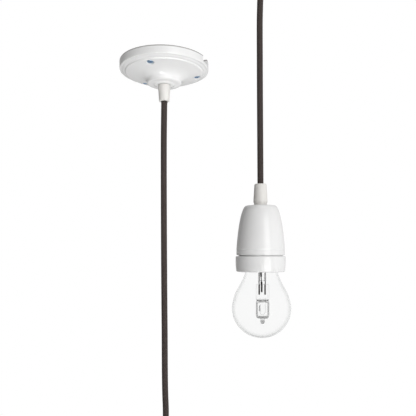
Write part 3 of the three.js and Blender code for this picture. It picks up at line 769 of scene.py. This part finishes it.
ROSE_PROFILE = [
    (BORE_R, ROSE_SEAT, 0.25),
    (SEAT_R, ROSE_SEAT, 0.6),
    (SEAT_EDGE_R, -BOSS_DEPTH, 1.0),
    (BOSS_R, -BOSS_DEPTH, 3.0),
    *[sweep(i / SWEEP_STEPS) for i in range(SWEEP_STEPS + 1)],
    (STEP_R, -STEP_DEPTH, 0.9),
    (STEP_R + 0.3, -STEP_DEPTH + 1, 0.5),
    (ROSE_R - 3, -RIM_DEPTH - 0.8, 0.6),
    (ROSE_R - 1.6, -RIM_DEPTH, 0.8),
    (ROSE_R, -RIM_DEPTH, 1.6),
    (ROSE_R, 0, 0.8),
    (ROSE_R - ROSE_WALL, 0, 0.4),
    (ROSE_R - ROSE_WALL, -4.2, 1.2),
    (STEP_R - 2, -6.5, 1.5),
    (DISC_INNER_R - 2, -8.2, 3),
    (BOSS_R - ROSE_WALL, -13.4, 0.8),
    (BOSS_R - ROSE_WALL, -BOSS_INNER_DEPTH, 0.6),
    (BORE_R, -BOSS_INNER_DEPTH, 0.25),
]


def at_screw(piece, angle):
    """Places a piece made about the vertical on the disc at a screw, tilted with the disc."""
    x, y = polar(SCREW_PITCH_R, angle)
    across = (-math.sin(math.radians(angle)), math.cos(math.radians(angle)), 0)
    tilt = Matrix.Rotation(-math.atan(DISC_SLOPE), 4, across)
    place = Matrix.Translation(Vector((x, y, -disc_depth(SCREW_PITCH_R))) * MM)
    return moved(piece, place @ tilt)


def add_screw_seat(rose, angle):
    """A pad behind the disc, with a sink for the screw's head and a hole for its shank."""
    x, y = polar(SCREW_PITCH_R, angle)
    pad_profile = rounded([(0, PAD_LOW), (PAD_R, PAD_LOW), (PAD_R, PAD_HIGH, 0.5), (0, PAD_HIGH)])
    join(rose, turned("pad", pad_profile, 48, x, y))
    seat = SCREW_HEAD_H + FIT
    sink_r = SCREW_HEAD_R + FIT
    flare = rounded([
        (0, seat), (sink_r, seat, 0.3), (sink_r, 0.4, 0.4), (SCREW_HEAD_R + 0.8, -0.05, 0.4),
        (SCREW_HEAD_R + 1.6, -3), (0, -3),
    ])
    sink = at_screw(turned("sink", flare, 64), angle)
    hole = turned("hole", [(0, -12), (SCREW_HOLE_R, -12), (SCREW_HOLE_R, 1), (0, 1)], 32, x, y)
    cut(rose, sink, hole)


def cut_notch(rose):
    """The cable notch in the rose's wall."""
    notch = box_mesh("notch", NOTCH_REACH, NOTCH_WIDTH, NOTCH_LOW, 2, x=ROSE_R, turn=NOTCH_ANGLE)
    round_edges(notch, 1.2, 4)
    cut(rose, notch)


rose = turned("rose_dish", rounded(ROSE_PROFILE), 192)
for angle in SCREW_ANGLES:
    add_screw_seat(rose, angle)
cut_notch(rose)
sharp_by_angle(rose)
finish_piece(rose, porcelain, "porcelain", "rose_body")

# Screws of the rose

CROSS_LENGTH = 3.4
CROSS_WIDTH = 0.75
CROSS_DEPTH = 1.0
SCREW_SHANK_R = 1.5
SCREW_SPIN = 2.3
SCREW_PROFILE = [
    (0, -SCREW_HEAD_H),
    (SCREW_HEAD_R * 0.6, -SCREW_HEAD_H + 0.06, 0.6),
    (SCREW_HEAD_R, -SCREW_HEAD_H + 0.55, 0.4),
    (SCREW_HEAD_R, 0, 0.12),
    (SCREW_SHANK_R, 0, 0.1),
    (SCREW_SHANK_R, 7.6, 0.3),
    (0.9, 8.2),
    (0, 8.2),
]


def rose_screw(number, angle):
    """A screw with a low domed head and a cross recess, each turned to another angle."""
    screw = turned(f"screw_{number}", rounded(SCREW_PROFILE), 64)
    recess = -SCREW_HEAD_H + CROSS_DEPTH
    arm = box_mesh("arm", CROSS_LENGTH, CROSS_WIDTH, -3.2, recess)
    other = box_mesh("other", CROSS_WIDTH, CROSS_LENGTH, -3.2, recess)
    cut(screw, arm, other)
    sharp_by_angle(screw)
    x, y = polar(SCREW_PITCH_R, angle)
    spin = Matrix.Rotation(math.radians(angle * SCREW_SPIN), 4, "Z")
    seat_z = SCREW_HEAD_H - disc_depth(SCREW_PITCH_R)
    moved(screw, Matrix.Translation(Vector((x, y, seat_z)) * MM) @ spin)
    finish_piece(screw, blue_zinc, "blue_zinc", f"rose_screw_{number}")


for number, angle in enumerate(SCREW_ANGLES, 1):
    rose_screw(number, angle)

# Cord grips

GRIP_BORE_R = 3.05
GRIP_STEM_R = 4.9
ROSE_GRIP_R = 5.5
HOLDER_GRIP_R = 6.4
HOLDER_GRIP_NECK_R = 5.9
HOLDER_TOP = -130.4


def rose_grip():
    """The tapered grip below the rose, with its stem up into the boss."""
    seat = ROSE_SEAT - FIT
    stem_top = -11.3
    profile = [
        (GRIP_BORE_R, ROSE_GRIP_MOUTH, 0.35),
        (4.7, ROSE_GRIP_MOUTH, 1.0),
        (ROSE_GRIP_R, seat - 3, 1.5),
        (ROSE_GRIP_R, seat, 0.3),
        (GRIP_STEM_R, seat),
        (GRIP_STEM_R, stem_top - 0.4, 0.4),
        (GRIP_STEM_R - 0.4, stem_top),
        (GRIP_BORE_R, stem_top, 0.3),
    ]
    return turned("rose_grip", rounded(profile), 96)


def holder_grip():
    """The tapered grip on the lamp holder, with its stem down into the bell."""
    seat = HOLDER_TOP + FIT
    neck_top = seat + 2.7
    stem_low = -139.2
    profile = [
        (GRIP_BORE_R, HOLDER_GRIP_MOUTH, 0.35),
        (5.5, HOLDER_GRIP_MOUTH, 1.1),
        (HOLDER_GRIP_R, neck_top + 3, 1.5),
        (HOLDER_GRIP_R, neck_top, 0.4),
        (HOLDER_GRIP_NECK_R, neck_top, 0.15),
        (HOLDER_GRIP_NECK_R, seat, 0.25),
        (GRIP_STEM_R, seat),
        (GRIP_STEM_R, stem_low + 0.4),
        (GRIP_STEM_R - 0.4, stem_low, 0.2),
        (GRIP_BORE_R, stem_low, 0.3),
    ]
    return turned("holder_grip", rounded(profile), 96, HOLDER_X)


finish_piece(rose_grip(), ivory, "grip_plastic", "rose_cord_grip")
finish_piece(holder_grip(), ivory, "grip_plastic", "holder_cord_grip")

# Lamp holder

BODY_TOP_R = 13.2
BODY_R = 22
BODY_H = 45
BEAD_H = 4.6
FLANK_BEND = 1.35
FLANK_STEPS = 32
COLLAR_TOP = HOLDER_TOP - BODY_H
COLLAR_LOW = COLLAR_TOP - 7
COLLAR_R = 20
COLLAR_INNER = 17.6
CAVITY_ROOF = HOLDER_TOP - 4.5
CAVITY_ROOF_R = 12.6
RING_R = 22.7
RING_INNER = 17.4
RING_TOP = COLLAR_TOP - 0.8
RING_BOTTOM = -190.5
RING_LIP = 4.3


def flank():
    """The bell's side, from near its top down to the bead."""
    points = []
    for i in range(2, FLANK_STEPS + 1):
        down = (i / FLANK_STEPS) ** 2
        across = math.sqrt(1 - (1 - down) ** FLANK_BEND)
        radius = BODY_TOP_R + (BODY_R - BODY_TOP_R) * across
        points.append((radius, HOLDER_TOP - (BODY_H - BEAD_H) * down))
    return points


def holder_bell():
    """The bell with its bead, its collar for the ring and its hollow."""
    bead_top = COLLAR_TOP + BEAD_H
    profile = [
        (BORE_R, HOLDER_TOP, 0.3),
        (BODY_TOP_R - 0.9, HOLDER_TOP, 0.5),
        *flank(),
        (BODY_R - 0.22, bead_top - 0.35, 0.12),
        (BODY_R, bead_top - 0.8, 0.15),
        (BODY_R, COLLAR_TOP, 1.1),
        (COLLAR_R, COLLAR_TOP, 0.2),
        (COLLAR_R, COLLAR_LOW, 0.5),
        (COLLAR_INNER, COLLAR_LOW, 0.5),
        (COLLAR_INNER, -148.4, 2),
        (CAVITY_ROOF_R, CAVITY_ROOF, 2),
        (BORE_R, CAVITY_ROOF, 0.3),
    ]
    return turned("holder_bell", rounded(profile), 160, HOLDER_X)


def clamp_ring():
    """The ring on the collar, rounded in at its lower edge."""
    lip_top = RING_BOTTOM + RING_LIP
    profile = [
        (COLLAR_R + FIT, RING_TOP, 0.2),
        (RING_R, RING_TOP, 1.1),
        (RING_R, RING_TOP - 7.9, 2),
        (RING_R - 0.5, RING_BOTTOM + 2.2, 1.6),
        (RING_R - 0.6, RING_BOTTOM, 2.4),
        (RING_INNER, RING_BOTTOM, 0.7),
        (RING_INNER, lip_top, 0.3),
        (COLLAR_R + FIT, lip_top, 0.3),
    ]
    return turned("holder_clamp_ring", rounded(profile), 160, HOLDER_X)


finish_piece(holder_bell(), porcelain, "porcelain", "holder_body")
finish_piece(clamp_ring(), porcelain, "porcelain", "holder_ring")

# Bulb

BULB_R = 26.8
BULB_Z = -223.9
BULB_WALL = 0.8
BULB_ARC = 110
BULB_ARC_STEPS = 9
NECK_R = 14.5
NECK_TOP_R = 11.55
NECK_SHARES = ((0.13, 0.18), (0.34, 0.36), (0.57, 0.54), (0.79, 0.74), (0.93, 0.9))


def glass_outline(inset):
    """Outline of the bulb from its tip up to the top of its neck, moved in by a wall thickness."""
    outline = []
    for i in range(BULB_ARC_STEPS + 1):
        r, z = polar(BULB_R - inset, -90 + BULB_ARC * i / BULB_ARC_STEPS)
        outline.append((r if i else 0, BULB_Z + z))
    end_r, end_z = outline[-1]
    neck = NECK_R - inset
    top = NECK_TOP_R - inset
    for inward, up in NECK_SHARES:
        outline.append((end_r - (end_r - neck) * inward, end_z + (RING_BOTTOM - end_z) * up))
    outline += [(neck, RING_BOTTOM), (top, RING_BOTTOM + 3), (top, RING_BOTTOM + 8.6)]
    return outline


def fine_outline(inset):
    """The same outline as a smooth curve that starts on the axis."""
    fine = [(max(0.0, p.x), p.y) for p in smooth_line([(*p, 0) for p in glass_outline(inset)], 5)]
    fine[0] = (0.0, fine[0][1])
    return fine


envelope_profile = fine_outline(0) + list(reversed(fine_outline(BULB_WALL)))
envelope = turned("bulb_envelope", envelope_profile, 160, GLASS_X)
finish_piece(envelope, clear_glass, "clear_glass", "bulb_glass")

# Glass stem in the bulb's neck

STEM_LOW = -201.7
STEM_R = 3.6
STEM_BORE_R = 3.05
FLARE_TOP = -182.9
FLARE_R = 9.6
STEM_PROFILE = [
    (0, STEM_LOW),
    (STEM_R - 0.4, STEM_LOW, 0.6),
    (STEM_R, STEM_LOW + 0.9, 0.5),
    (STEM_R, FLARE_TOP - 5.2, 1.6),
    (5.4, FLARE_TOP - 2.3, 1.5),
    (FLARE_R, FLARE_TOP - 0.9, 0.6),
    (FLARE_R, FLARE_TOP, 0.3),
    (FLARE_R - 0.9, FLARE_TOP, 0.2),
    (4.7, FLARE_TOP - 1.8, 1.2),
    (STEM_BORE_R, FLARE_TOP - 4.6, 1.2),
    (STEM_BORE_R, STEM_LOW + 3.0, 1.0),
    (0, STEM_LOW + 2.4),
]
finish_piece(turned("lamp_stem", rounded(STEM_PROFILE), 64, STEM_X), stem_glass, "clear_glass", "bulb_stem")

# Inner capsule

TUBE_R = 6
TUBE_WALL = 0.8
TUBE_INNER_R = TUBE_R - TUBE_WALL
PINCH_TOP = -202.0
PINCH_WIDTH = 12
PINCH_T = 3
PRESS_EDGE = 1.3
CAPSULE_SHELL = [
    (0, KNOB_END),
    (1.4, KNOB_END, 0.5),
    (2.15, KNOB_END + 2.2, 0.8),
    (1.75, TUBE_END - 1.0, 0.8),
    (2.6, TUBE_END - 0.1, 0.6),
    (TUBE_R, TUBE_END, 3.8),
    (TUBE_R, SHOULDER - 0.6, 1.6),
    (0, SHOULDER + 0.5),
]
CAPSULE_HOLLOW = [
    (0, SHOULDER - 0.7),
    (TUBE_INNER_R, SHOULDER - 1.7, 1.4),
    (TUBE_INNER_R, TUBE_END + 0.9, 3.2),
    (0.5, TUBE_END + 0.7, 0.4),
    (0, TUBE_END + 0.2),
]


def pinch_block():
    """The flat pinch above the tube, with a shallow press mark on each face."""
    pinch = box_mesh("pinch", PINCH_WIDTH, PINCH_T, SHOULDER - 0.4, PINCH_TOP, CAPSULE_X)
    round_edges(pinch, 1.3, 5)
    width = PINCH_WIDTH - 2 * PRESS_EDGE
    for side in (-1, 1):
        y = side * (PINCH_T / 2 + 0.1)
        press = box_mesh("press", width, 1, SHOULDER + 1.6, PINCH_TOP + 1, CAPSULE_X, y)
        round_edges(press, 0.3, 3)
        cut(pinch, press)
    return pinch


capsule = turned("capsule", rounded(CAPSULE_SHELL + CAPSULE_HOLLOW, 8), 80, CAPSULE_X)
join(capsule, pinch_block())
sharp_by_angle(capsule, 40)
finish_piece(capsule, quartz, "quartz", "capsule_glass")

# Wires inside the bulb

WIRE_STEP = 0.2
WIRE_SIDES = 16
WIRE_TOP = -180.9
LEAD_END = -211.6
LEAD_INSET = 2.7
SUPPORT_END = -209.4
SUPPORT_X = GLASS_X + 0.3


def wire(name, points, radius, *nodes_replaced):
    """A wire along a smooth curve, with domed ends; radius is a function of the share of its length."""
    stations = even_steps(smooth_line(points, 12), WIRE_STEP)
    total = line_length(stations)

    def thickness(along, share):
        return domed(radius(along / total), min(along, total - along), 0.03)

    piece = tube(name, stations, thickness, WIRE_SIDES)
    return finish_piece(piece, lamp_wire, "lamp_wire", *nodes_replaced)


def lead_radius(share):
    """A lead is thin in the stem and thicker in the capsule's pinch."""
    return 0.38 if share < 0.7 else 0.74


def support_radius(share):
    """The support wire is thick in the stem, thin below it and thick again in the pinch."""
    if share < 0.5:
        return 0.85
    return 0.45 if share < 0.66 else 0.84


for number, side in enumerate((-1, 1), 1):
    x = STEM_X + side * LEAD_INSET
    lead_points = [
        (x, 0, WIRE_TOP), (x, 0, -188), (x - side * 0.15, 0, -197), (x, 0, PINCH_TOP), (x, 0, -206),
        (x, 0, LEAD_END),
    ]
    wire(f"lead_{number}", lead_points, lead_radius, f"bulb_lead_{number}")
support_points = [
    (SUPPORT_X - 0.7, 0, WIRE_TOP), (SUPPORT_X - 0.7, 0, -190), (SUPPORT_X - 0.4, 0, -197),
    (SUPPORT_X, 0, -203), (SUPPORT_X, 0, SUPPORT_END),
]
wire("support_wire", support_points, support_radius, "bulb_support_wire")

# Filament

COIL_X = 2.55
COIL_R = 0.62
COIL_TOP = -221.4
COIL_LOW = -226.6
COIL_TURNS = 16
COIL_STEPS = 10
FILAMENT_R = 0.09


def filament_route():
    """Down from the pinch through the coil, across the capsule's lower end and up its other side."""
    left = CAPSULE_X - COIL_X
    right = CAPSULE_X + COIL_X
    line = [(left, 0, SHOULDER + 1.8), (left, 0, COIL_TOP + 1.2)]
    count = COIL_TURNS * COIL_STEPS
    for i in range(count + 1):
        angle = 2 * math.pi * i / COIL_STEPS
        height = COIL_TOP + (COIL_LOW - COIL_TOP) * i / count
        line.append((left + COIL_R * math.cos(angle), COIL_R * math.sin(angle), height))
    line += [
        (left, 0, COIL_LOW - 0.8), (CAPSULE_X - 1, 0, TUBE_END + 3.2), (CAPSULE_X + 1, 0, TUBE_END + 3.2),
        (right, 0, TUBE_END + 5.7), (right, 0, SHOULDER - 3), (right, 0, SHOULDER + 1.8),
    ]
    return line


filament = tube("filament", smooth_line(filament_route(), 3), FILAMENT_R, 8)
finish_piece(filament, tungsten, "lamp_wire", "capsule_filament")

# Floor

FLOOR_Z = -0.6
FLOOR_R = 620
FLOOR_X = 100
FLOOR_T = 8
FLOOR_GLOW = 0.5


def pale_floor():
    """Material of the floor: a pale grey that the camera sees a little brighter."""
    material, tree, shader = principled("pale floor", Roughness=0.8)
    tone = mix(tree, spread(tree, noise(tree, 3, 2), 0, 1), grey(0.85), grey(0.88))
    tree.links.new(tone, shader.inputs["Base Color"])
    path = add(tree, "ShaderNodeLightPath")
    shader.inputs["Emission Color"].default_value = (1, 1, 1, 1)
    glow = math_node(tree, "MULTIPLY", path.outputs["Is Camera Ray"], FLOOR_GLOW)
    tree.links.new(glow, shader.inputs["Emission Strength"])
    return material


floor_profile = [(0, 0), (FLOOR_R, 0), (FLOOR_R, -FLOOR_T), (0, -FLOOR_T)]
floor = turned("floor", floor_profile, 96, FLOOR_X, 0)
moved(floor, Matrix.Translation((0, 0, FLOOR_Z)))
floor.data.materials.append(pale_floor())

# World


def add_world():
    """White where the camera looks past the set, and a soft grey light that is darker from the left."""
    world = bpy.data.worlds.new("studio")
    bpy.context.scene.world = world
    world.use_nodes = True
    tree = world.node_tree
    background = tree.nodes["Background"]
    path = add(tree, "ShaderNodeLightPath")
    direction = add(tree, "ShaderNodeTexCoord")
    sideways = axes_of(tree, direction.outputs["Generated"])["X"]
    from_left = spread(tree, sideways, 0, 1, -0.8, 0.8)
    glossy = mix(tree, from_left, (0.34, 0.338, 0.336), grey(0.85))
    diffuse = mix(tree, from_left, (0.165, 0.162, 0.16), grey(0.6))
    soft = mix(tree, path.outputs["Is Glossy Ray"], diffuse, glossy)
    direct = math_node(tree, "MAXIMUM", path.outputs["Is Camera Ray"], path.outputs["Is Transmission Ray"])
    tree.links.new(mix(tree, direct, soft, grey(1.0)), background.inputs["Color"])
    background.inputs["Strength"].default_value = 1.0


add_world()

# Lamps


def hang(data, place, target):
    """Puts a lamp at a place, facing a target; it isn't seen directly or through glass."""
    light = bpy.data.objects.new(data.name, data)
    light.visible_camera = False
    light.visible_transmission = False
    light.location = place
    light.rotation_euler = (Vector(target) - Vector(place)).to_track_quat("-Z", "Y").to_euler()
    bpy.context.scene.collection.objects.link(light)


def lamp(name, place, target, size, watts):
    """A soft rectangular lamp."""
    data = bpy.data.lights.new(name, "AREA")
    data.shape = "RECTANGLE"
    data.size, data.size_y = size
    data.energy = watts
    hang(data, place, target)


def rose_lamp():
    """A soft narrow lamp that shines up at the rose from below."""
    data = bpy.data.lights.new("rose spot", "SPOT")
    data.energy = 6.4
    data.spot_size = math.radians(23)
    data.spot_blend = 0.5
    data.shadow_soft_size = 0.12
    hang(data, (-0.05, -0.2, -0.56), (0, 0, -0.01))


lamp("key", place=(0.58, -1.04, -0.15), target=(0.05, 0, -0.12), size=(0.6, 1.3), watts=5.5)
lamp("below", place=(0.45, -0.95, -0.55), target=(0.03, 0, -0.03), size=(0.9, 0.6), watts=2.2)
lamp("top", place=(0.2, -0.5, 0.95), target=(0.05, 0, -0.1), size=(0.7, 0.7), watts=1.5)
rose_lamp()
